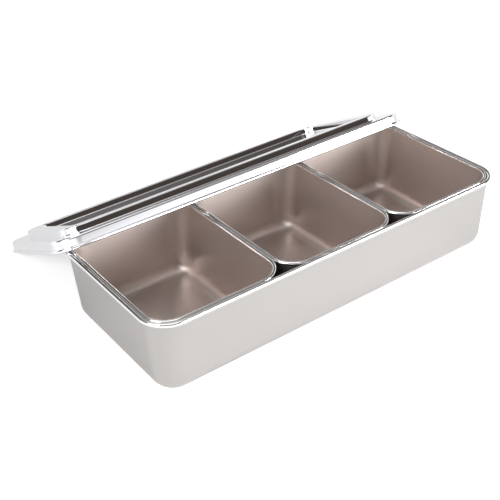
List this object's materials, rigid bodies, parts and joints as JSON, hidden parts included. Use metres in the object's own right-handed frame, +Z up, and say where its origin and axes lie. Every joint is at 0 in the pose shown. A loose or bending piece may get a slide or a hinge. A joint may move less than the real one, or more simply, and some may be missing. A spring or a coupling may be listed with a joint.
{
  "type": "condiment tray",
  "caption": "Stainless steel condiment tray with rolled rims that holds lift-out pans side by side, under a loose stepped lid that lies tilted over its back edge.",
  "frame": {"origin": "centre of the tray's flat underside, on the surface it stands on", "axes": "+X along the tray's length to the right, +Y to the back, where the lid lies, +Z up"},
  "size_m": [0.416, 0.3133, 0.1023],
  "materials": {
    "tray_steel": "satin, with a polished rolled rim",
    "pan_steel": "satin inside, with a polished rolled rim",
    "lid_steel": "mirror polished"
  },
  "bodies": {
    "tray": {"outer_tray": "tray_steel"},
    "pan_left": {"pan_left": "pan_steel"},
    "pan_middle": {"pan_middle": "pan_steel"},
    "pan_right": {"pan_right": "pan_steel"},
    "lid": {"lid": "lid_steel"}
  },
  "joints": [
    {"name": "pan_middle_lift", "type": "slide", "parent": "tray", "child": "pan_middle", "axis": [0, 0, 1], "range_m": [0, 0.1]},
    {"name": "pan_left_lift", "type": "slide", "parent": "tray", "child": "pan_left", "axis": [0, 0, 1], "range_m": [0, 0.1]},
    {"name": "pan_right_lift", "type": "slide", "parent": "tray", "child": "pan_right", "axis": [0, 0, 1], "range_m": [0, 0.1]},
    {"name": "lid_lift", "type": "slide", "parent": "pan_middle", "child": "lid", "axis": [0, 0, 1], "range_m": [0, 0.12]}
  ],
  "couplings": [
    {"joint": "pan_left_lift", "follows": "pan_middle_lift", "ratio": 1},
    {"joint": "pan_right_lift", "follows": "pan_middle_lift", "ratio": 1}
  ]
}
